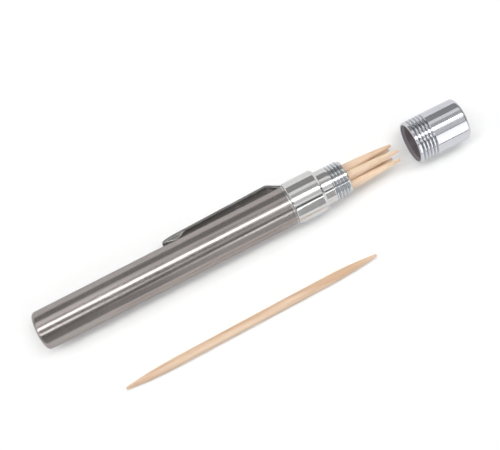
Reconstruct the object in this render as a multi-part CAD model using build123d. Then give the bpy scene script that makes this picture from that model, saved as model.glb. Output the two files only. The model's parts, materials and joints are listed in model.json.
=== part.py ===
from build123d import *
import os
from math import asin, atan2, degrees, hypot

# A pocket toothpick tube, lying on a table with its screw cap off.
# Millimetres. X runs along the tube from the tail face to the mouth, Z is up.
# The origin is the centre of the tail face.

# Toothpicks
PICK_DIAMETER = 2.2
PICK_LENGTH = 64.2
PICK_TAPER = 13.0
PICK_KNEE = 0.6
PICK_TIP_RADIUS = 0.3
PICK_GAP = 0.06
BUNDLE_CLEARANCE = 0.1
PICK_STANDOUT = (12.4, 13.2, 12.9, 11.8, 12.1)
# Places across the tube, sideways and up, in pitches of touching toothpicks
PICK_SEATS = ((0.72, 0.076), (-0.142, 0.582), (-1.013, 0.089), (-0.511, -0.884), (0.489, -0.898))
LOOSE_PICK_X = 43.1
LOOSE_PICK_Y = -19.4
LOOSE_PICK_TURN = 0.9

# Barrel, with its tail edge turned in over a plug
BARREL_LENGTH = 62.1
BARREL_WALL = 0.5
TAIL_ROUND = 0.9
TAIL_LIP = 0.8
PLUG_THICKNESS = 2.5
SEAT_GAP = 0.02

# Neck bush: spigot in the barrel, collar, plain relief, thread core and lip
SPIGOT_LENGTH = 8.0
SPIGOT_WALL = 0.57
SPIGOT_CHAMFER = 0.3
COLLAR_LENGTH = 7.5
COLLAR_REAR_CHAMFER = 0.2
COLLAR_FRONT_CHAMFER = 0.5
RELIEF_LENGTH = 2.5
THREAD_LENGTH = 3.3
THREAD_DEPTH = 0.3
NECK_WALL = 0.4
LIP_LENGTH = 0.75
LIP_CHAMFER = 0.2

# Cap and the pad in its closed end
CAP_OFF_GAP = 23.3
CAP_CLEARANCE = 0.06
CAP_WALL = 0.81
CAP_DEPTH = 11.65
CAP_END = 1.2
CAP_END_ROUND = 0.8
CAP_MOUTH_LEAD = 0.25
CAP_MOUTH_CHAMFER = 0.12
GROOVE_COUNT = 5
GROOVE_FIRST = 0.95
GROOVE_PITCH = 0.82
GROOVE_WIDTH = 0.5
GROOVE_DEPTH = 0.22
LINER_THICKNESS = 0.8
LINER_CLEARANCE = 0.08

# Spring clip: a ring on the spigot with a tab, and a free arm bent back over the barrel
CLIP_THICKNESS = 0.55
CLIP_WIDTH = 3.2
CLIP_LIFT = 0.05
CLIP_RAMP = 2.5
CLIP_RISE = 1.85
CLIP_ARM = 26.85
CLIP_ARM_DROP = 0.75
CLIP_BEND = 1.2
CLIP_TIP_WIDTH = 2.4
CLIP_TIP_TAPER = 2.5
CLIP_TIP_ROUND = 0.7
BUMP_FROM_TIP = 3.6
BUMP_LEAD = 3.2
BUMP_RUN = 2.3
BUMP_WIDTH = 2.0
BUMP_ROUND = 0.8

# Radii, worked out from the toothpicks outwards
pick_radius = PICK_DIAMETER / 2
pick_pitch = PICK_DIAMETER + PICK_GAP
neck_bore = pick_pitch + pick_radius + BUNDLE_CLEARANCE
spigot_radius = neck_bore + SPIGOT_WALL
barrel_bore = spigot_radius + SEAT_GAP
barrel_radius = barrel_bore + BARREL_WALL
tail_hole = barrel_bore - TAIL_LIP
thread_core = neck_bore + NECK_WALL
relief_radius = thread_core + THREAD_DEPTH
cap_bore = relief_radius + CAP_CLEARANCE
cap_radius = cap_bore + CAP_WALL
collar_radius = cap_radius

# Places along the tube
ring_front = BARREL_LENGTH + CLIP_THICKNESS
collar_front = ring_front + COLLAR_LENGTH
relief_front = collar_front + RELIEF_LENGTH
thread_front = relief_front + THREAD_LENGTH
neck_end = thread_front + LIP_LENGTH
cap_mouth = collar_front + CAP_OFF_GAP
cap_floor = cap_mouth + CAP_DEPTH
cap_tail = cap_floor + CAP_END

# Clip profile: its inner face, and the roll that brings its lower edge down to the table
root_inner = barrel_radius + CLIP_LIFT
root_outer = root_inner + CLIP_THICKNESS
hump_x = BARREL_LENGTH - CLIP_RAMP
hump_inner = root_inner + CLIP_RISE
tip_x = hump_x - CLIP_ARM
tip_inner = hump_inner - CLIP_ARM_DROP
hump_outer = hump_inner + CLIP_THICKNESS
edge_reach = hypot(hump_outer, CLIP_WIDTH / 2)
clip_roll = degrees(asin(collar_radius / edge_reach) - atan2(CLIP_WIDTH / 2, hump_outer))


def corner(face, x, radius):
    """The corner of a profile that lies nearest to a place."""
    return face.vertices().sort_by_distance((x, radius, 0))[0]


def turned(face):
    """A profile drawn above the X axis, turned about it."""
    return revolve(face, Axis.X)


def polygon(*points):
    """A closed profile with straight sides."""
    return make_face(Polyline(*points, close=True))


def arm_inner(x):
    """Distance of the clip arm's inner face from the tube's axis."""
    return tip_inner + (x - tip_x) * CLIP_ARM_DROP / CLIP_ARM


def on_clip_side(shape):
    """A clip piece drawn on the +Y side, rolled down to where the tube lies."""
    return Rot(-clip_roll, 0, 0) * shape


def make_barrel():
    """Plain tube, its tail edge turned in and rounded."""
    wall = polygon(
        (0, tail_hole),
        (0, barrel_radius),
        (BARREL_LENGTH, barrel_radius),
        (BARREL_LENGTH, barrel_bore),
        (BARREL_WALL, barrel_bore),
        (BARREL_WALL, tail_hole),
    )
    return turned(fillet(corner(wall, 0, barrel_radius), TAIL_ROUND))


def make_tail_plug():
    """Disc held behind the turned-in edge, its face flush with it."""
    seat = BARREL_WALL + SEAT_GAP
    disc = polygon(
        (0, 0),
        (0, tail_hole - SEAT_GAP),
        (seat, tail_hole - SEAT_GAP),
        (seat, spigot_radius),
        (PLUG_THICKNESS, spigot_radius),
        (PLUG_THICKNESS, 0),
    )
    return turned(disc)


def make_neck_bushing():
    """One turned piece: spigot, clamping collar, plain relief, thread core and lip."""
    spigot_back = ring_front - SPIGOT_LENGTH
    wall = polygon(
        (spigot_back, neck_bore),
        (spigot_back, spigot_radius),
        (ring_front, spigot_radius),
        (ring_front, collar_radius),
        (collar_front, collar_radius),
        (collar_front, relief_radius),
        (relief_front, relief_radius),
        (relief_front, thread_core),
        (neck_end, thread_core),
        (neck_end, neck_bore),
    )
    wall = chamfer(corner(wall, ring_front, collar_radius), COLLAR_REAR_CHAMFER)
    wall = chamfer(corner(wall, collar_front, collar_radius), COLLAR_FRONT_CHAMFER)
    wall = chamfer(corner(wall, neck_end, thread_core), min(LIP_CHAMFER, NECK_WALL / 2))
    wall = chamfer(corner(wall, spigot_back, neck_bore), SPIGOT_CHAMFER)
    return turned(wall)


def ring_blank(radius):
    """Profile of the clip's ring from the axis out to a radius."""
    return polygon((BARREL_LENGTH, 0), (BARREL_LENGTH, radius), (ring_front, radius), (ring_front, 0))


def make_clip_ring():
    """Ring clamped between barrel and collar, with the tab that the arm springs from."""
    tab = fillet(corner(ring_blank(root_outer), ring_front, root_outer), CLIP_THICKNESS / 2)
    blank = turned(ring_blank(barrel_radius)) + extrude(tab, CLIP_WIDTH / 2, both=True)
    return on_clip_side(blank - turned(ring_blank(barrel_bore)))


def make_clip_arm():
    """Free arm: ramp, long straight run, rounded tip, and a bump pressed towards the barrel."""
    inner_face = FilletPolyline(
        (BARREL_LENGTH, root_inner), (hump_x, hump_inner), (tip_x, tip_inner), radius=CLIP_BEND
    )
    strip = make_face(offset(inner_face, CLIP_THICKNESS, side=Side.RIGHT, kind=Kind.ARC))
    half_width = CLIP_WIDTH / 2
    half_tip = CLIP_TIP_WIDTH / 2
    plan = polygon(
        (tip_x, -half_tip),
        (tip_x + CLIP_TIP_TAPER, -half_width),
        (BARREL_LENGTH, -half_width),
        (BARREL_LENGTH, half_width),
        (tip_x + CLIP_TIP_TAPER, half_width),
        (tip_x, half_tip),
    )
    plan = fillet(corner(plan, tip_x, -half_tip), CLIP_TIP_ROUND)
    plan = fillet(corner(plan, tip_x, half_tip), CLIP_TIP_ROUND)
    arm = extrude(strip, half_width, both=True) & extrude(Plane.XZ * plan, hump_outer * 2, both=True)

    bump_x = tip_x + BUMP_FROM_TIP
    bump_start = bump_x - BUMP_LEAD
    bump_end = bump_x + BUMP_RUN
    bump = polygon(
        (bump_start, arm_inner(bump_start)),
        (bump_x, root_inner),
        (bump_end, arm_inner(bump_end)),
        (bump_x, arm_inner(bump_x) + CLIP_THICKNESS / 2),
    )
    bump = fillet(corner(bump, bump_x, root_inner), BUMP_ROUND)
    hollow = Pos(0, CLIP_THICKNESS) * bump
    arm += extrude(bump, BUMP_WIDTH / 2, both=True)
    arm -= extrude(hollow, BUMP_WIDTH / 2 - CLIP_THICKNESS, both=True)
    return on_clip_side(arm)


def make_cap():
    """Turned cap with grip grooves by its mouth and a rounded closed end."""
    outline = [
        (cap_mouth, cap_bore + CAP_MOUTH_LEAD),
        (cap_mouth, cap_radius - CAP_MOUTH_CHAMFER),
        (cap_mouth + CAP_MOUTH_CHAMFER, cap_radius),
    ]
    for index in range(GROOVE_COUNT):
        middle = cap_mouth + GROOVE_FIRST + index * GROOVE_PITCH
        outline.append((middle - GROOVE_WIDTH / 2, cap_radius))
        outline.append((middle, cap_radius - GROOVE_DEPTH))
        outline.append((middle + GROOVE_WIDTH / 2, cap_radius))
    outline += [
        (cap_tail, cap_radius),
        (cap_tail, 0),
        (cap_floor, 0),
        (cap_floor, cap_bore),
        (cap_mouth + CAP_MOUTH_LEAD, cap_bore),
    ]
    shell = polygon(*outline)
    return turned(fillet(corner(shell, cap_tail, cap_radius), CAP_END_ROUND))


def make_cap_liner():
    """Pad that lies against the cap's floor."""
    back = cap_floor - SEAT_GAP
    front = back - LINER_THICKNESS
    rim = cap_bore - LINER_CLEARANCE
    return turned(polygon((front, 0), (front, rim), (back, rim), (back, 0)))


def make_toothpick():
    """Round toothpick along X, centred, with both ends drawn in to a blunt point."""
    end = PICK_LENGTH / 2
    drop = pick_radius - PICK_TIP_RADIUS
    front_end = []
    for part in (0, PICK_KNEE, 1):
        front_end.append((end - PICK_TAPER * (1 - part), pick_radius - drop * part**2))
    back_end = [(-x, radius) for x, radius in reversed(front_end)]
    return turned(polygon((-end, 0), *back_end, *front_end, (end, 0)))


nodes = {
    "barrel": make_barrel(),
    "tail_plug": make_tail_plug(),
    "neck_bushing": make_neck_bushing(),
    "clip_ring": make_clip_ring(),
    "clip_arm": make_clip_arm(),
    "cap": make_cap(),
    "cap_liner": make_cap_liner(),
}

# Toothpicks in the tube: three that show, the middle one lying on its neighbours, and two below
for index, (side, height) in enumerate(PICK_SEATS):
    middle = neck_end + PICK_STANDOUT[index] - PICK_LENGTH / 2
    place = Pos(middle, side * pick_pitch, height * pick_pitch)
    nodes[f"toothpick_{index + 1}"] = place * make_toothpick()

# Toothpick on the table, in front of the tube
table = -collar_radius
loose_place = Pos(LOOSE_PICK_X, LOOSE_PICK_Y, table + pick_radius) * Rot(0, 0, LOOSE_PICK_TURN)
nodes["loose_toothpick"] = loose_place * make_toothpick()

os.makedirs("parts", exist_ok=True)
for name, shape in nodes.items():
    export_step(shape, f"parts/{name}.step")
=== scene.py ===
import bpy
import json
from math import atan2, cos, degrees, hypot, pi, radians, sin, tan, tau
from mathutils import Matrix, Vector


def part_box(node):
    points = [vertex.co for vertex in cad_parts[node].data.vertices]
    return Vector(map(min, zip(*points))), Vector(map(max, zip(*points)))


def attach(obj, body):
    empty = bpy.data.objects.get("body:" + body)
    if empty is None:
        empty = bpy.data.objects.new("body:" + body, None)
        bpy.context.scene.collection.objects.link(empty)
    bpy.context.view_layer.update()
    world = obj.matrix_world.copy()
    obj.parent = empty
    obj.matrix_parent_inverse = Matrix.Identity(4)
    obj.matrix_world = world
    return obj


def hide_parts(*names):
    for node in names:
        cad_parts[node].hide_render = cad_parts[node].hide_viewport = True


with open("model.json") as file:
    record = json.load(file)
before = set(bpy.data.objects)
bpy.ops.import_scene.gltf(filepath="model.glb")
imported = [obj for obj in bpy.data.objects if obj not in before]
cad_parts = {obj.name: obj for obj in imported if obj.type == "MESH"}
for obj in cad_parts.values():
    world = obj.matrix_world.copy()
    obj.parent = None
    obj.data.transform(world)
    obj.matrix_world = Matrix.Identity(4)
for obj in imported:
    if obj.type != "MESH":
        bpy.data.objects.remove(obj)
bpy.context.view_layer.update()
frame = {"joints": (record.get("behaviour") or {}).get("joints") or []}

# Barrel
# A seamless tube of stainless steel, ground to a satin finish along its length.
# Its tail edge is turned in and rounded over the plug; the mouth takes the neck bush as a press fit.
# The pieces are measured in millimetres, and Blender works in metres.
MM = 0.001
barrel_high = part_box("barrel")[1]
barrel_length = barrel_high[0] / MM
barrel_radius = barrel_high[2] / MM
barrel_wall = 0.5
barrel_bore = barrel_radius - barrel_wall
tail_round = 0.9
tail_lip = 0.8
tail_hole = barrel_bore - tail_lip
mouth_edge = 0.06
round_steps = 10
weld_gap = 0.002
smooth_angle = radians(30.0)
line_depth = 0.02
# Most values of a noise lie in this range.
noise_range = (0.3, 0.7)


def arc(middle, radius, start, end, steps=8):
    """Points of an arc in the profile plane, from one angle to another in degrees."""
    points = []
    for step in range(steps + 1):
        angle = radians(start + (end - start) * step / steps)
        points.append((middle[0] + radius * cos(angle), middle[1] + radius * sin(angle)))
    return points


def draw_profile(name, outline):
    """Draws a chain of vertices through (x, radius) points in millimetres, and stays in edit mode."""
    bpy.ops.object.select_all(action="DESELECT")
    bpy.ops.mesh.primitive_plane_add(size=MM, location=(0.0, 0.0, 0.0))
    piece = bpy.context.object
    piece.name = name
    bpy.ops.object.mode_set(mode="EDIT")
    bpy.ops.mesh.select_all(action="SELECT")
    bpy.ops.mesh.merge(type="CENTER")
    first_x, first_radius = outline[0]
    place = Vector((first_x * MM, 0.0, first_radius * MM))
    bpy.ops.transform.translate(value=place)
    for x, radius in outline[1:]:
        target = Vector((x * MM, 0.0, radius * MM))
        bpy.ops.mesh.extrude_region_move(TRANSFORM_OT_translate={"value": target - place})
        place = target
    return piece


def brace(outline, reach=0.12, long_run=0.48):
    """Adds points near the ends of long runs, so that smooth shading bends only close to the edges."""
    braced = [outline[0]]
    for (x, radius), (next_x, next_radius) in zip(outline, outline[1:]):
        length = hypot(next_x - x, next_radius - radius)
        if length > long_run:
            for share in (reach / length, 1.0 - reach / length):
                braced.append((x + (next_x - x) * share, radius + (next_radius - radius) * share))
        braced.append((next_x, next_radius))
    return braced


def turn_on_lathe(name, outline, steps=144):
    """Spins a profile about the tube's axis into a closed piece."""
    piece = draw_profile(name, brace(outline))
    bpy.ops.mesh.select_all(action="SELECT")
    bpy.ops.mesh.spin(steps=steps, angle=tau, center=(0.0, 0.0, 0.0), axis=(1.0, 0.0, 0.0))
    bpy.ops.mesh.select_all(action="SELECT")
    bpy.ops.mesh.remove_doubles(threshold=weld_gap * MM)
    bpy.ops.mesh.delete_loose()
    bpy.ops.mesh.select_all(action="SELECT")
    bpy.ops.mesh.normals_make_consistent(inside=False)
    bpy.ops.object.mode_set(mode="OBJECT")
    return piece


def node(tree, kind, operation=None, **sockets):
    """Adds a node to a tree, with what it works out, and sets its input sockets by name."""
    added = tree.nodes.new(kind)
    if operation:
        added.operation = operation
    for socket, value in sockets.items():
        added.inputs[socket.replace("_", " ")].default_value = value
    return added


def new_material(name):
    """A material with its tree and its Principled shader."""
    material = bpy.data.materials.new(name)
    material.use_nodes = True
    return material, material.node_tree, material.node_tree.nodes["Principled BSDF"]


def mixed_values(tree, first, second, share):
    """Adds up two values that change over the surface: a share of the first and the rest of the second."""
    rest = node(tree, "ShaderNodeMath", operation="MULTIPLY")
    rest.inputs[1].default_value = 1.0 - share
    total = node(tree, "ShaderNodeMath", operation="MULTIPLY_ADD")
    total.inputs[1].default_value = share
    tree.links.new(second, rest.inputs[0])
    tree.links.new(first, total.inputs[0])
    tree.links.new(rest.outputs[0], total.inputs[2])
    return total.outputs[0]


def map_value(tree, value, from_range, to_range):
    """Carries a value from one range of numbers over to another."""
    mapped = node(
        tree,
        "ShaderNodeMapRange",
        From_Min=from_range[0],
        From_Max=from_range[1],
        To_Min=to_range[0],
        To_Max=to_range[1],
    )
    tree.links.new(value, mapped.inputs["Value"])
    return mapped.outputs["Result"]


def tone_ramp(tree, value, first, last, between=()):
    """Turns a value into tones, each given as a position and a colour."""
    ramp = tree.nodes.new("ShaderNodeValToRGB")
    for element, (position, colour) in zip(ramp.color_ramp.elements, (first, last)):
        element.position = position
        element.color = (*colour, 1.0)
    for position, colour in between:
        ramp.color_ramp.elements.new(position).color = (*colour, 1.0)
    tree.links.new(value, ramp.inputs["Fac"])
    return ramp.outputs["Color"]


def relief(tree, height, strength, depth):
    """Raises and sinks the surface with a value, to a depth in millimetres."""
    bump = node(tree, "ShaderNodeBump", Strength=strength, Distance=depth * MM)
    tree.links.new(height, bump.inputs["Height"])
    return bump.outputs["Normal"]


def dress(tree, shader, colour, roughness, normal):
    """Leads a colour, a roughness and a relief to the shader."""
    tree.links.new(colour, shader.inputs["Base Color"])
    tree.links.new(roughness, shader.inputs["Roughness"])
    tree.links.new(normal, shader.inputs["Normal"])


def finish_lines():
    """Group: fine lines that a belt or a tool leaves in metal, and the faint clouds of handling."""
    group = bpy.data.node_groups.new("finish_lines", "ShaderNodeTree")
    sockets = group.interface
    sockets.new_socket("Line Scale", in_out="INPUT", socket_type="NodeSocketVector")
    sockets.new_socket("Cloud Scale", in_out="INPUT", socket_type="NodeSocketFloat")
    sockets.new_socket("Lines", in_out="OUTPUT", socket_type="NodeSocketFloat")
    sockets.new_socket("Clouds", in_out="OUTPUT", socket_type="NodeSocketFloat")
    entry = group.nodes.new("NodeGroupInput")
    leave = group.nodes.new("NodeGroupOutput")
    place = group.nodes.new("ShaderNodeTexCoord")
    stretch = node(group, "ShaderNodeMapping")
    lines = node(group, "ShaderNodeTexNoise", Scale=1.0, Detail=3.0, Roughness=0.6)
    clouds = node(group, "ShaderNodeTexNoise", Detail=2.0, Roughness=0.5)
    group.links.new(place.outputs["Object"], stretch.inputs["Vector"])
    group.links.new(entry.outputs["Line Scale"], stretch.inputs["Scale"])
    group.links.new(stretch.outputs["Vector"], lines.inputs["Vector"])
    group.links.new(place.outputs["Object"], clouds.inputs["Vector"])
    group.links.new(entry.outputs["Cloud Scale"], clouds.inputs["Scale"])
    group.links.new(lines.outputs["Fac"], leave.inputs["Lines"])
    group.links.new(clouds.outputs["Fac"], leave.inputs["Clouds"])
    return group


lines_group = finish_lines()


def steel(name, pale, dark, edge, line_scale, cloud_scale, smooth, rough, bump):
    """Bare steel whose tone and gloss follow the lines of its finish, with its own glancing tint."""
    material, tree, shader = new_material(name)
    shader.inputs["Metallic"].default_value = 1.0
    shader.inputs["Specular Tint"].default_value = (edge, edge, edge, 1.0)
    finish = tree.nodes.new("ShaderNodeGroup")
    finish.node_tree = lines_group
    finish.inputs["Line Scale"].default_value = line_scale
    finish.inputs["Cloud Scale"].default_value = cloud_scale
    lines = finish.outputs["Lines"]
    wear = mixed_values(tree, lines, finish.outputs["Clouds"], share=0.5)
    dress(
        tree,
        shader,
        colour=tone_ramp(tree, wear, (noise_range[0], dark), (noise_range[1], pale)),
        roughness=map_value(tree, wear, noise_range, (smooth, rough)),
        normal=relief(tree, lines, strength=bump, depth=line_depth),
    )
    return material


satin_steel = steel(
    "satin_steel",
    pale=(0.425, 0.389, 0.375),
    dark=(0.345, 0.313, 0.303),
    edge=0.55,
    line_scale=(60.0, 5200.0, 5200.0),
    cloud_scale=90.0,
    smooth=0.2,
    rough=0.27,
    bump=0.12,
)
barrel_outline = [(0.0, tail_hole)]
barrel_outline += arc((tail_round, barrel_radius - tail_round), tail_round, 180.0, 90.0, steps=round_steps)
barrel_outline += [
    (barrel_length - mouth_edge, barrel_radius),
    (barrel_length, barrel_radius - mouth_edge),
    (barrel_length, barrel_bore),
    (barrel_wall, barrel_bore),
    (barrel_wall, tail_hole),
    (0.0, tail_hole),
]
barrel = turn_on_lathe("barrel_tube", barrel_outline)
bpy.ops.object.shade_smooth_by_angle(angle=smooth_angle)
barrel.data.materials.append(satin_steel)
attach(barrel, "tube")
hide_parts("barrel")

# Tail plug
# A turned steel disc that closes the barrel, with a shallow dish faced into its end.
# The turned-in edge of the barrel holds it, and its face lies flush with that edge.
plug_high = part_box("tail_plug")[1]
plug_thickness = plug_high[0] / MM
plug_radius = plug_high[2] / MM
seat_gap = 0.02
plug_face = tail_hole - seat_gap
plug_seat = barrel_wall + seat_gap
face_dish = 0.12
face_dish_radius = 2.6
disc_steps = 96


def select_only(piece, *others):
    """Selects a piece, and others with it, and makes it the active one."""
    bpy.ops.object.select_all(action="DESELECT")
    for chosen in (piece, *others):
        chosen.select_set(True)
    bpy.context.view_layer.objects.active = piece


def ease_edges(piece, width=0.05):
    """Breaks the sharp edges as a polishing wheel does, and smooths the rest."""
    edges = piece.modifiers.new("eased_edges", "BEVEL")
    edges.width = width * MM
    edges.segments = 2
    edges.limit_method = "ANGLE"
    edges.angle_limit = smooth_angle
    select_only(piece)
    bpy.ops.object.modifier_apply(modifier="eased_edges")
    bpy.ops.object.shade_smooth_by_angle(angle=smooth_angle)


plug = turn_on_lathe(
    "tail_disc",
    [
        (face_dish, 0.0),
        (face_dish, face_dish_radius - face_dish),
        (0.0, face_dish_radius),
        (0.0, plug_face),
        (plug_seat, plug_face),
        (plug_seat, plug_radius),
        (plug_thickness, plug_radius),
        (plug_thickness, 0.0),
    ],
    steps=disc_steps,
)
ease_edges(plug)
plug.data.materials.append(satin_steel)
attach(plug, "tube")
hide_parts("tail_plug")

# Spring clip
# One strip of hard spring steel: a ring that the collar clamps against the barrel's mouth, a tab, and an arm.
# The arm is bent back over the barrel, runs straight, and has a V pressed in near its tip that grips cloth.
joints = {joint["name"]: joint for joint in frame["joints"]}
clip_hinge = joints["clip_flex"]
clip_root = clip_hinge["pos_m"][0] / MM
root_outer = hypot(clip_hinge["pos_m"][1], clip_hinge["pos_m"][2]) / MM
clip_roll = atan2(-clip_hinge["axis"][1], -clip_hinge["axis"][2])
ring_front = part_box("clip_ring")[1][0] / MM
clip_width = 3.2
clip_thickness = ring_front - barrel_length
clip_ramp = 2.5
clip_rise = 1.85
arm_drop = 0.75
root_inner = root_outer - clip_thickness
hump_x = clip_root - clip_ramp
hump_inner = root_inner + clip_rise
tip_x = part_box("clip_arm")[0][0] / MM
tip_inner = hump_inner - arm_drop
tip_half = 1.2
tip_taper = 2.5
tip_round = 0.7
bend_radius = 1.2
bump_from_tip = 3.6
bump_x = tip_x + bump_from_tip
bump_lead = 3.2
bump_run = 2.3
bump_half_width = 1.5
bump_side = 0.04
bump_edge = 0.15
bump_softness = 0.3
dent_half_width = bump_half_width - clip_thickness
tab_sunk = 4.1
tab_round_steps = 5
arm_edge = 0.06
select_margin = 0.01
# The strip is divided at these shares of the tip, of the V's two flanks and of its rounded sides.
tip_cuts = (0.0, 0.06, 0.22, 0.5, 1.0)
lead_cuts = (1.0, 0.5, 0.15, 0.05, 0.0)
run_cuts = (0.07, 0.2, 0.5, 1.0)
side_cuts = (0.0, 0.13, 0.5, 1.0)

spring_steel = steel(
    "spring_steel",
    pale=(0.53, 0.52, 0.51),
    dark=(0.42, 0.41, 0.4),
    edge=0.8,
    line_scale=(90.0, 4200.0, 4200.0),
    cloud_scale=160.0,
    smooth=0.18,
    rough=0.3,
    bump=0.2,
)


def roll_to_clip_side(piece):
    """Turns a piece drawn above the tube down to the side where the clip lies."""
    bpy.ops.object.mode_set(mode="OBJECT")
    select_only(piece)
    piece.rotation_euler = (-pi / 2 - clip_roll, 0.0, 0.0)
    bpy.ops.object.transform_apply(location=False, rotation=True, scale=False)


def join(piece, added):
    """Makes two meshes one piece, under the first one's name."""
    select_only(piece, added)
    bpy.ops.object.join()


ring = turn_on_lathe(
    "clip_ring_band",
    [
        (barrel_length, barrel_bore),
        (barrel_length, barrel_radius),
        (ring_front, barrel_radius),
        (ring_front, barrel_bore),
        (barrel_length, barrel_bore),
    ],
)
ease_edges(ring)
bpy.ops.object.select_all(action="DESELECT")
tab_middle = ((clip_root + ring_front) / 2, 0.0, (tab_sunk + root_outer) / 2)
bpy.ops.mesh.primitive_cube_add(size=MM, location=Vector(tab_middle) * MM)
tab = bpy.context.object
tab.scale = (clip_thickness, clip_width, root_outer - tab_sunk)
bpy.ops.object.transform_apply(location=True, rotation=False, scale=True)
bpy.ops.object.mode_set(mode="EDIT")
bpy.ops.mesh.select_all(action="DESELECT")
bpy.ops.object.mode_set(mode="OBJECT")
tab_front = ring_front - select_margin
tab_top = root_outer - select_margin
for edge in tab.data.edges:
    ends = [tab.data.vertices[index].co / MM for index in edge.vertices]
    edge.select = all(end.x > tab_front and end.z > tab_top for end in ends)
bpy.ops.object.mode_set(mode="EDIT")
bpy.ops.mesh.bevel(offset=clip_thickness / 2 * MM, segments=tab_round_steps)
roll_to_clip_side(tab)
ease_edges(tab)
join(ring, tab)
ring.data.materials.append(spring_steel)
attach(ring, "tube")
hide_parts("clip_ring")


def arm_height(x):
    """Distance of the straight arm's inner face from the tube's axis."""
    return tip_inner + (hump_inner - tip_inner) * (x - tip_x) / (hump_x - tip_x)


def bump_drop(x):
    """How far the pressed V comes down towards the barrel, soft at its point."""
    reach = hypot(bump_lead if x < bump_x else bump_run, bump_softness)
    share = (reach - hypot(x - bump_x, bump_softness)) / (reach - bump_softness)
    return max(0.0, share) * (arm_height(bump_x) - root_inner)


def arm_share(x):
    """The arm's width as a share of the full strip: drawn in and rounded at the tip."""
    from_tip = x - tip_x
    half = clip_width / 2 - (clip_width / 2 - tip_half) * max(0.0, 1.0 - from_tip / tip_taper)
    if from_tip < tip_round:
        half -= tip_round - (tip_round**2 - (tip_round - max(0.0, from_tip)) ** 2) ** 0.5
    return half / (clip_width / 2)


def pressed(side, drop, half_width, edge):
    """How far a point across the strip goes down with the V: steep at its side, rounded at its edge."""
    inwards = half_width - bump_side - abs(side)
    if inwards < -bump_side / 2:
        return 0.0
    edge = min(edge, drop)
    if inwards < edge:
        return drop - edge + (edge**2 - (edge - max(0.0, inwards)) ** 2) ** 0.5
    return drop


slope_in = atan2(hump_inner - tip_inner, hump_x - tip_x)
slope_out = atan2(root_inner - hump_inner, clip_root - hump_x)
bend_reach = bend_radius * abs(tan((slope_in - slope_out) / 2))
bend_start = (hump_x - bend_reach * cos(slope_in), hump_inner - bend_reach * sin(slope_in))
bend_middle = (bend_start[0] + bend_radius * sin(slope_in), bend_start[1] - bend_radius * cos(slope_in))
cuts = [tip_x + tip_round * share for share in tip_cuts]
cuts += [bump_x - bump_lead * share for share in lead_cuts]
cuts += [bump_x + bump_run * share for share in run_cuts]
arm_line = [(x, arm_height(x)) for x in sorted(cuts)]
arm_line += arc(bend_middle, bend_radius, 90.0 + degrees(slope_in), 90.0 + degrees(slope_out))
arm_line.append((clip_root, root_inner))
arm = draw_profile("clip_spring_arm", arm_line)
bpy.ops.mesh.select_all(action="SELECT")
bpy.ops.transform.translate(value=(0.0, -clip_width / 2 * MM, 0.0))
strips = [-clip_width / 2, -bump_half_width]
strips += [bump_side - bump_half_width + bump_edge * share for share in side_cuts]
strips += [-dent_half_width, bump_side - dent_half_width]
strips += [-strip for strip in reversed(strips)]
for before, after in zip(strips, strips[1:]):
    bpy.ops.mesh.extrude_region_move(TRANSFORM_OT_translate={"value": (0.0, (after - before) * MM, 0.0)})
bpy.ops.mesh.select_all(action="SELECT")
bpy.ops.mesh.normals_make_consistent(inside=False)
bpy.ops.object.mode_set(mode="OBJECT")
for vertex in arm.data.vertices:
    vertex.co.y *= arm_share(vertex.co.x / MM)
# The strip gets its thickness away from the tube, whichever way its faces point.
thickness = arm.modifiers.new("strip_thickness", "SOLIDIFY")
thickness.thickness = clip_thickness * MM
thickness.offset = 1.0 if sum(face.normal.z for face in arm.data.polygons) > 0.0 else -1.0
thickness.use_even_offset = True
bpy.ops.object.modifier_apply(modifier="strip_thickness")
ease_edges(arm, arm_edge)
for vertex in arm.data.vertices:
    x = vertex.co.x / MM
    if bump_x - bump_lead < x < bump_x + bump_run:
        side = vertex.co.y / MM / arm_share(x)
        if vertex.co.z / MM < arm_height(x) + clip_thickness / 2:
            vertex.co.z -= pressed(side, bump_drop(x), bump_half_width, bump_edge) * MM
        else:
            vertex.co.z -= pressed(side, bump_drop(x), dent_half_width, 0.0) * MM
roll_to_clip_side(arm)
bpy.ops.object.shade_smooth_by_angle(angle=smooth_angle)
arm.data.materials.append(spring_steel)
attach(arm, "clip_arm")
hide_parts("clip_arm")

# Neck bush
# One piece turned from bright steel bar: a spigot pressed into the barrel, a polished collar that holds the
# clip's ring, a plain relief, and a neck with a rolled thread for the cap.
neck_low, neck_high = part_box("neck_bushing")
spigot_back = neck_low[0] / MM
neck_end = neck_high[0] / MM
collar_radius = neck_high[2] / MM
collar_length = 7.5
relief_length = 2.5
thread_length = 3.3
collar_front = ring_front + collar_length
relief_front = collar_front + relief_length
thread_front = relief_front + thread_length
spigot_radius = barrel_bore - seat_gap
thread_core = 3.86
thread_depth = 0.3
relief_radius = thread_core + thread_depth
neck_wall = 0.4
neck_bore = thread_core - neck_wall
spigot_chamfer = 0.3
collar_rear_edge = 0.2
collar_front_edge = 0.5
lip_edge = 0.2
thread_pitch = 0.8
thread_root_width = 0.6
thread_crest_width = 0.18
thread_sink = 0.05
steps_a_turn = 72
neck_thread_lead = 0.1
neck_thread_start = relief_front - neck_thread_lead
neck_thread_turns = 4.25
neck_crest_gap = 0.03
neck_run_out = 0.35

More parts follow.
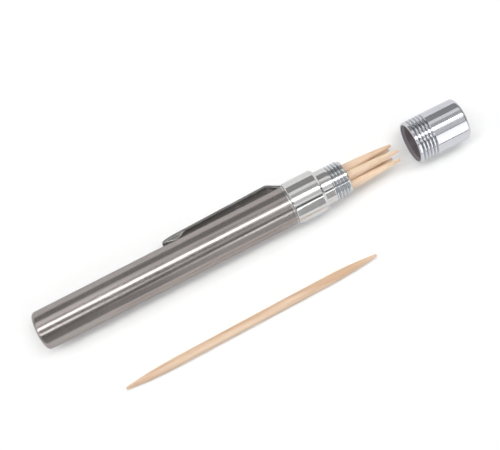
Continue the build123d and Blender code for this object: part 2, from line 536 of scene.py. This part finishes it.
polish = dict(
    edge=0.85, line_scale=(7000.0, 160.0, 160.0), cloud_scale=140.0, smooth=0.1, rough=0.16, bump=0.1
)
polished_steel = steel("polished_steel", pale=(0.69, 0.685, 0.68), dark=(0.61, 0.605, 0.6), **polish)
neck = turn_on_lathe(
    "threaded_neck",
    [
        (spigot_back, neck_bore + spigot_chamfer),
        (spigot_back, spigot_radius),
        (ring_front, spigot_radius),
        (ring_front, collar_radius - collar_rear_edge),
        (ring_front + collar_rear_edge, collar_radius),
        (collar_front - collar_front_edge, collar_radius),
        (collar_front, collar_radius - collar_front_edge),
        (collar_front, relief_radius),
        (relief_front, relief_radius),
        (relief_front, thread_core),
        (neck_end - lip_edge, thread_core),
        (neck_end, thread_core - lip_edge),
        (neck_end, neck_bore),
        (spigot_back + spigot_chamfer, neck_bore),
        (spigot_back, neck_bore + spigot_chamfer),
    ],
)
ease_edges(neck)


def wind_thread(name, root_radius, crest_radius, first_x, turns, last_x):
    """A closed ridge that winds about the tube's axis and runs out under a chamfer at its last turn."""
    sink = thread_sink if crest_radius > root_radius else -thread_sink
    ridge = draw_profile(
        name,
        [
            (first_x - thread_root_width / 2, root_radius - sink),
            (first_x - thread_crest_width / 2, crest_radius),
            (first_x + thread_crest_width / 2, crest_radius),
            (first_x + thread_root_width / 2, root_radius - sink),
            (first_x - thread_root_width / 2, root_radius - sink),
        ],
    )
    bpy.ops.mesh.select_all(action="SELECT")
    bpy.ops.mesh.remove_doubles(threshold=weld_gap * MM)
    bpy.ops.object.mode_set(mode="OBJECT")
    winding = ridge.modifiers.new("winding", "SCREW")
    winding.axis = "X"
    winding.angle = tau * turns
    winding.screw_offset = thread_pitch * turns * MM
    winding.steps = round(steps_a_turn * turns)
    winding.render_steps = winding.steps
    bpy.ops.object.modifier_apply(modifier="winding")
    bpy.ops.object.mode_set(mode="EDIT")
    bpy.ops.mesh.select_all(action="SELECT")
    bpy.ops.mesh.fill_holes(sides=4)
    bpy.ops.mesh.select_all(action="SELECT")
    bpy.ops.mesh.normals_make_consistent(inside=False)
    bpy.ops.object.mode_set(mode="OBJECT")
    depth = abs(crest_radius - root_radius)
    for vertex in ridge.data.vertices:
        radius = hypot(vertex.co.y, vertex.co.z)
        height = min(1.0, max(0.0, (last_x - vertex.co.x / MM) / depth))
        if abs(radius / MM - crest_radius) < thread_sink:
            eased = (root_radius + (crest_radius - root_radius) * height) * MM / radius
            vertex.co.y *= eased
            vertex.co.z *= eased
    return ridge


tool_marks = dict(line_scale=(5200.0, 200.0, 200.0), cloud_scale=300.0)
rolled_steel = steel(
    "rolled_steel",
    pale=(0.58, 0.61, 0.65),
    dark=(0.44, 0.465, 0.5),
    edge=0.85,
    smooth=0.14,
    rough=0.22,
    bump=0.2,
    **tool_marks,
)
neck_thread = wind_thread(
    "neck_thread",
    root_radius=thread_core,
    crest_radius=relief_radius - neck_crest_gap,
    first_x=neck_thread_start,
    turns=neck_thread_turns,
    last_x=thread_front + neck_run_out,
)
bpy.ops.object.shade_smooth_by_angle(angle=smooth_angle)
neck_thread.data.materials.append(rolled_steel)
neck.data.materials.append(polished_steel)
join(neck, neck_thread)
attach(neck, "tube")
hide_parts("neck_bushing")

# Toothpicks
# Round birch toothpicks, milled to size and drawn in to a blunt point at both ends, with no coating.
# Five stand in the tube, loose in the neck's bore, and a sixth lies on the table.
pick_low, pick_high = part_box("toothpick_1")
pick_length = (pick_high[0] - pick_low[0]) / MM
pick_radius = (pick_high[2] - pick_low[2]) / 2 / MM
pick_taper = 13.0
pick_tip_radius = 0.3
pick_edge = 0.1
pick_steps = 40
taper_steps = 12
pick_count = 5
pick_roll = 71.0
loose_pick_roll = 30.0
loose_pick_turn = radians(0.9)
# Tones of the grain, from the vessels to the palest fibres, each at its place in the ramp.
vessel_brown = (0.38, (0.68, 0.452, 0.288))
birch_tan = (0.5, (0.81, 0.602, 0.436))
birch_pale = (0.62, (0.87, 0.698, 0.52))
wood_gloss = (0.55, 0.75)


def drawn_out_noise(tree, place, scale, detail, roughness):
    """A noise with its own scale along each axis."""
    stretch = node(tree, "ShaderNodeMapping", Scale=scale)
    noise = node(tree, "ShaderNodeTexNoise", Scale=1.0, Detail=detail, Roughness=roughness)
    tree.links.new(place.outputs["Object"], stretch.inputs["Vector"])
    tree.links.new(stretch.outputs["Vector"], noise.inputs["Vector"])
    return noise.outputs["Fac"]


def wood():
    """Pale birch with long fibres, a few darker vessels and a slightly dry surface."""
    material, tree, shader = new_material("pick_wood")
    place = tree.nodes.new("ShaderNodeTexCoord")
    fibres = drawn_out_noise(tree, place, scale=(55.0, 1500.0, 1500.0), detail=4.0, roughness=0.62)
    bands = drawn_out_noise(tree, place, scale=(26.0, 420.0, 420.0), detail=2.0, roughness=0.5)
    grain = mixed_values(tree, fibres, bands, share=0.45)
    dress(
        tree,
        shader,
        colour=tone_ramp(tree, grain, vessel_brown, birch_pale, between=[birch_tan]),
        roughness=map_value(tree, fibres, noise_range, wood_gloss),
        normal=relief(tree, fibres, strength=0.5, depth=0.04),
    )
    return material


pick_wood = wood()
pick_end = []
for step in range(taper_steps + 1):
    part = step / taper_steps
    x = pick_length / 2 - pick_taper * (1.0 - part)
    pick_end.append((x, pick_radius - (pick_radius - pick_tip_radius) * part**2))
pick_outline = [(-pick_length / 2, 0.0)]
pick_outline += [(-x, radius) for x, radius in reversed(pick_end)]
pick_outline += pick_end
pick_outline.append((pick_length / 2, 0.0))
first_pick = turn_on_lathe("wooden_pick", pick_outline, steps=pick_steps)
ease_edges(first_pick, pick_edge)
first_pick.data.materials.append(pick_wood)


def lay_pick(name, roll, turn):
    """Copies the first toothpick to where a CAD one lies, each with its own side up."""
    low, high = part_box(name)
    select_only(first_pick)
    bpy.ops.object.duplicate()
    pick = bpy.context.object
    pick.name = "wooden_" + name
    pick.rotation_euler = (roll, 0.0, turn)
    pick.location = (Vector(low) + Vector(high)) / 2
    bpy.ops.object.transform_apply(location=True, rotation=True, scale=False)
    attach(pick, name)
    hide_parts(name)


for index in range(1, pick_count + 1):
    lay_pick(f"toothpick_{index}", roll=radians(pick_roll * index), turn=0.0)
lay_pick("loose_toothpick", roll=radians(loose_pick_roll), turn=loose_pick_turn)
bpy.data.objects.remove(first_pick)

# Cap and its pad
# A cap turned from steel bar and plated bright, with five grip grooves by its mouth, a rounded closed end and
# a rough bore with a thread. Painted shade darkens the bore and the grooves. A disc of black rubber lies in
# its closed end and quiets the toothpicks.
cap_low, cap_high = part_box("cap")
cap_mouth = cap_low[0] / MM
cap_tail = cap_high[0] / MM
cap_radius = cap_high[2] / MM
cap_end = 1.2
cap_floor = cap_tail - cap_end
cap_clearance = 0.06
cap_bore = relief_radius + cap_clearance
cap_round = 0.8
cap_edge = 0.03
mouth_recess = 0.34
mouth_recess_depth = 0.3
mouth_chamfer = 0.15
groove_count = 5
groove_first = 0.95
groove_pitch = 0.82
groove_half = 0.25
groove_depth = 0.22
groove_bottom = 0.04
groove_shoulder = 0.04
groove_start = cap_mouth + groove_first - groove_pitch / 2
groove_end = groove_start + groove_count * groove_pitch
cap_travel = -joints["cap_slide"]["range_m"][0] / MM
cap_thread_start = neck_thread_start + cap_travel + thread_pitch / 2
cap_thread_turns = 3.25
cap_crest_gap = 0.07
cap_run_out = 4.0

cap_outline = [
    (cap_mouth, cap_bore + mouth_recess),
    (cap_mouth, cap_radius - mouth_chamfer),
    (cap_mouth + mouth_chamfer, cap_radius),
]
for index in range(groove_count):
    middle = cap_mouth + groove_first + index * groove_pitch
    cap_outline += [
        (middle - groove_half, cap_radius),
        (middle - groove_bottom, cap_radius - groove_depth),
        (middle + groove_bottom, cap_radius - groove_depth),
        (middle + groove_half, cap_radius),
    ]
cap_outline += arc((cap_tail - cap_round, cap_radius - cap_round), cap_round, 90.0, 0.0, steps=round_steps)
cap_outline += [
    (cap_tail, 0.0),
    (cap_floor, 0.0),
    (cap_floor, cap_bore),
    (cap_mouth + mouth_recess_depth + mouth_recess, cap_bore),
    (cap_mouth + mouth_recess_depth, cap_bore + mouth_recess),
    (cap_mouth, cap_bore + mouth_recess),
]
cap = turn_on_lathe("screw_cap", cap_outline)
ease_edges(cap, cap_edge)
cap_thread = wind_thread(
    "cap_thread",
    root_radius=cap_bore,
    crest_radius=thread_core + cap_crest_gap,
    first_x=cap_thread_start,
    turns=cap_thread_turns,
    last_x=cap_thread_start + cap_run_out,
)
bpy.ops.object.shade_smooth_by_angle(angle=smooth_angle)
join(cap, cap_thread)
# The bore's rough, tool-marked steel is real, but its darker tone is painted shade inside the cap.
dull_bore_and_painted_shade = steel(
    "dull_bore_and_painted_shade",
    pale=(0.435, 0.395, 0.42),
    dark=(0.32, 0.29, 0.31),
    edge=0.8,
    smooth=0.7,
    rough=0.85,
    bump=0.4,
    **tool_marks,
)
# The grooves take a darker, cooler steel: painted shade in the grooves.
painted_groove_shade = steel(
    "painted_groove_shade",
    pale=(0.46, 0.47, 0.51),
    dark=(0.31, 0.32, 0.355),
    edge=0.85,
    smooth=0.12,
    rough=0.2,
    bump=0.2,
    **tool_marks,
)
plated_steel = steel("plated_steel", pale=(0.66, 0.665, 0.705), dark=(0.58, 0.585, 0.622), **polish)
cap_finishes = [plated_steel, dull_bore_and_painted_shade, painted_groove_shade]
for finish in cap_finishes:
    cap.data.materials.append(finish)
# The bore and the grooves take the darker steels, which paint shade into them.
bore_reach = cap_bore + mouth_recess + select_margin
for face in cap.data.polygons:
    along = face.center.x / MM
    from_axis = hypot(face.center.y, face.center.z) / MM
    if from_axis < bore_reach and along < cap_floor + select_margin:
        face.material_index = cap_finishes.index(dull_bore_and_painted_shade)
    elif from_axis < cap_radius - groove_shoulder and groove_start < along < groove_end:
        face.material_index = cap_finishes.index(painted_groove_shade)
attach(cap, "cap")
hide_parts("cap")

pad_low, pad_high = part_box("cap_liner")
pad_front = pad_low[0] / MM
pad_back = pad_high[0] / MM
pad_radius = pad_high[2] / MM
pad_edge = 0.15
pad_dish = 0.1
pad_dish_radius = 3.2
rubber_black = (0.0, (0.02, 0.02, 0.021))
rubber_grey = (1.0, (0.055, 0.054, 0.053))
rubber_gloss = (0.6, 0.85)


def rubber():
    """Black rubber with a fine moulded grain."""
    material, tree, shader = new_material("liner_rubber")
    place = tree.nodes.new("ShaderNodeTexCoord")
    noise = node(tree, "ShaderNodeTexNoise", Scale=2500.0, Detail=3.0)
    tree.links.new(place.outputs["Object"], noise.inputs["Vector"])
    grain = noise.outputs["Fac"]
    dress(
        tree,
        shader,
        colour=tone_ramp(tree, grain, rubber_black, rubber_grey),
        roughness=map_value(tree, grain, (0.0, 1.0), rubber_gloss),
        normal=relief(tree, grain, strength=0.4, depth=0.03),
    )
    return material


pad = turn_on_lathe(
    "cap_pad",
    [
        (pad_front + pad_dish, 0.0),
        (pad_front + pad_dish, pad_dish_radius - pad_dish),
        (pad_front, pad_dish_radius),
        (pad_front, pad_radius - pad_edge),
        (pad_front + pad_edge, pad_radius),
        (pad_back, pad_radius),
        (pad_back, 0.0),
    ],
    steps=disc_steps,
)
ease_edges(pad)
pad.data.materials.append(rubber())
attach(pad, "cap_liner")
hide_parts("cap_liner")

# Table
# A plain white table top that the tube, the cap and the loose toothpick lie on. Its sizes are in metres.
# It keeps their shadows, and stays white far off, where the lamps don't reach.
table_middle = 0.05
table_height = -collar_radius * MM
table_size = 40.0
table_colour = (0.9, 0.9, 0.9, 1.0)
glow_white = (1.0, 1.0, 1.0, 1.0)
near_glow = 0.1
far_glow = 0.8
glow_from = 0.12
glow_full = 0.6
bpy.ops.object.select_all(action="DESELECT")
bpy.ops.mesh.primitive_plane_add(size=table_size, location=(table_middle, 0.0, table_height))
table = bpy.context.object
table.name = "table"
table_white, table_tree, table_shader = new_material("table_white")
table_shader.inputs["Base Color"].default_value = table_colour
table_shader.inputs["Roughness"].default_value = 0.7
table_shader.inputs["Emission Color"].default_value = glow_white
table_place = table_tree.nodes.new("ShaderNodeTexCoord")
table_distance = node(table_tree, "ShaderNodeVectorMath", operation="LENGTH")
table_tree.links.new(table_place.outputs["Object"], table_distance.inputs[0])
table_glow = map_value(
    table_tree, table_distance.outputs["Value"], (glow_from, glow_full), (near_glow, far_glow)
)
table_path = table_tree.nodes.new("ShaderNodeLightPath")
table_mirrored = node(table_tree, "ShaderNodeMath", operation="MAXIMUM")
table_seen = node(table_tree, "ShaderNodeMath", operation="MAXIMUM")
table_lift = node(table_tree, "ShaderNodeMath", operation="MULTIPLY")
table_tree.links.new(table_path.outputs["Is Glossy Ray"], table_mirrored.inputs[0])
table_tree.links.new(table_path.outputs["Is Transmission Ray"], table_mirrored.inputs[1])
table_tree.links.new(table_path.outputs["Is Camera Ray"], table_seen.inputs[0])
table_tree.links.new(table_mirrored.outputs[0], table_seen.inputs[1])
table_tree.links.new(table_seen.outputs[0], table_lift.inputs[0])
table_tree.links.new(table_glow, table_lift.inputs[1])
table_tree.links.new(table_lift.outputs[0], table_shader.inputs["Emission Strength"])
table.data.materials.append(table_white)

# Studio light
# Long strip lamps and wide dim panels along the tube, in a room with grey walls and a darker ceiling.
# Angles are measured from straight up towards the clip's side, and ends in metres along the tube.
lamp_distance = 0.5
wall_light = 0.34
ceiling_light = 0.12
wall_top = 0.5
ceiling_edge = 0.75
room_white = (1.0, 1.0, 1.0, 1.0)
room = bpy.data.worlds.new("grey_room")
bpy.context.scene.world = room
room.use_nodes = True
room_tree = room.node_tree
room_background = room_tree.nodes["Background"]
room_background.inputs["Color"].default_value = room_white
room_place = room_tree.nodes.new("ShaderNodeTexCoord")
room_height = room_tree.nodes.new("ShaderNodeSeparateXYZ")
room_tree.links.new(room_place.outputs["Generated"], room_height.inputs["Vector"])
room_level = map_value(
    room_tree, room_height.outputs["Z"], (wall_top, ceiling_edge), (wall_light, ceiling_light)
)
room_tree.links.new(room_level, room_background.inputs["Strength"])


def hang_lamp(name, angle, spread, radiance, start=-1.5, end=0.5):
    """A lamp along the tube at an angle, spread degrees wide as the tube sees it."""
    bpy.ops.object.select_all(action="DESELECT")
    across = lamp_distance * sin(radians(angle))
    height = lamp_distance * cos(radians(angle))
    bpy.ops.object.light_add(type="AREA", location=((start + end) / 2, across, height))
    lamp = bpy.context.object
    lamp.name = name
    lamp.rotation_euler = (-radians(angle), 0.0, 0.0)
    lamp.data.shape = "RECTANGLE"
    lamp.data.size = end - start
    lamp.data.size_y = 2.0 * lamp_distance * tan(radians(spread / 2))
    lamp.data.energy = radiance * pi * lamp.data.size * lamp.data.size_y
    return lamp


hang_lamp("main_strip", angle=8.0, spread=8.0, radiance=6.0)
hang_lamp("overhead_panel", angle=16.5, spread=37.0, radiance=0.38)
hang_lamp("middle_panel", angle=-16.0, spread=28.0, radiance=0.6, start=0.07)
hang_lamp("edge_strip", angle=0.0, spread=8.0, radiance=0.9, start=0.07)
hang_lamp("front_panel", angle=-58.5, spread=50.0, radiance=1.4, start=0.18, end=0.6)
# These show in the metal alone, as streaks that begin and end along the tube.
streaks = [
    hang_lamp("back_panel", angle=40.0, spread=22.0, radiance=1.1, end=-0.02),
    hang_lamp("back_panel_end", angle=42.5, spread=17.0, radiance=0.82, start=-0.02),
    hang_lamp("second_strip", angle=-23.5, spread=8.0, radiance=4.4, end=-0.06),
    hang_lamp("second_strip_end", angle=-23.5, spread=8.0, radiance=1.2, start=-0.06, end=0.04),
    hang_lamp("second_strip_tail", angle=-23.5, spread=8.0, radiance=0.35, start=0.04, end=0.17),
    hang_lamp("thin_strip", angle=-49.5, spread=5.0, radiance=1.2, start=-0.03, end=0.07),
    hang_lamp("thin_strip_end", angle=-49.5, spread=5.0, radiance=6.5, start=0.07, end=0.11),
    hang_lamp("collar_strip", angle=-45.0, spread=5.0, radiance=2.5, start=0.11, end=0.17),
    hang_lamp("front_fill", angle=-68.0, spread=40.0, radiance=0.12, start=-0.01, end=0.03),
    hang_lamp("front_fill_end", angle=-68.0, spread=40.0, radiance=0.4, start=0.03, end=0.1),
    hang_lamp("collar_fill", angle=-68.0, spread=40.0, radiance=0.12, start=0.1, end=0.17),
]
for streak in streaks:
    streak.visible_diffuse = False
# This one lights the wood and the table, and stays out of the metal.
key_panel = hang_lamp("key_panel", angle=22.0, spread=22.0, radiance=1.68, start=-0.5)
key_panel.visible_glossy = False

# Camera
# It looks down on the table from the front, with the tube running up to the right as in the photograph.
# The picture is 500 pixels wide, and the focal length is given in those pixels.
tube_turn = radians(27.13)
camera_elevation = radians(83.5)
camera_distance = 0.2040
picture_width = 500
focal_pixels = 906
aim = Vector((0.0524, 0.0, 0.0))
picture_up = Vector((sin(tube_turn), cos(tube_turn), 0.0))
towards_camera = Vector((0.0, 0.0, sin(camera_elevation))) - picture_up * cos(camera_elevation)
bpy.ops.object.camera_add(location=aim + towards_camera * camera_distance)
camera = bpy.context.object
camera.rotation_euler = towards_camera.to_track_quat("Z", "Y").to_euler()
camera.data.sensor_width = 36.0
camera.data.lens = camera.data.sensor_width * focal_pixels / picture_width
camera.data.clip_start = 0.01
bpy.context.scene.camera = camera

bpy.context.scene.view_settings.view_transform = "Standard"
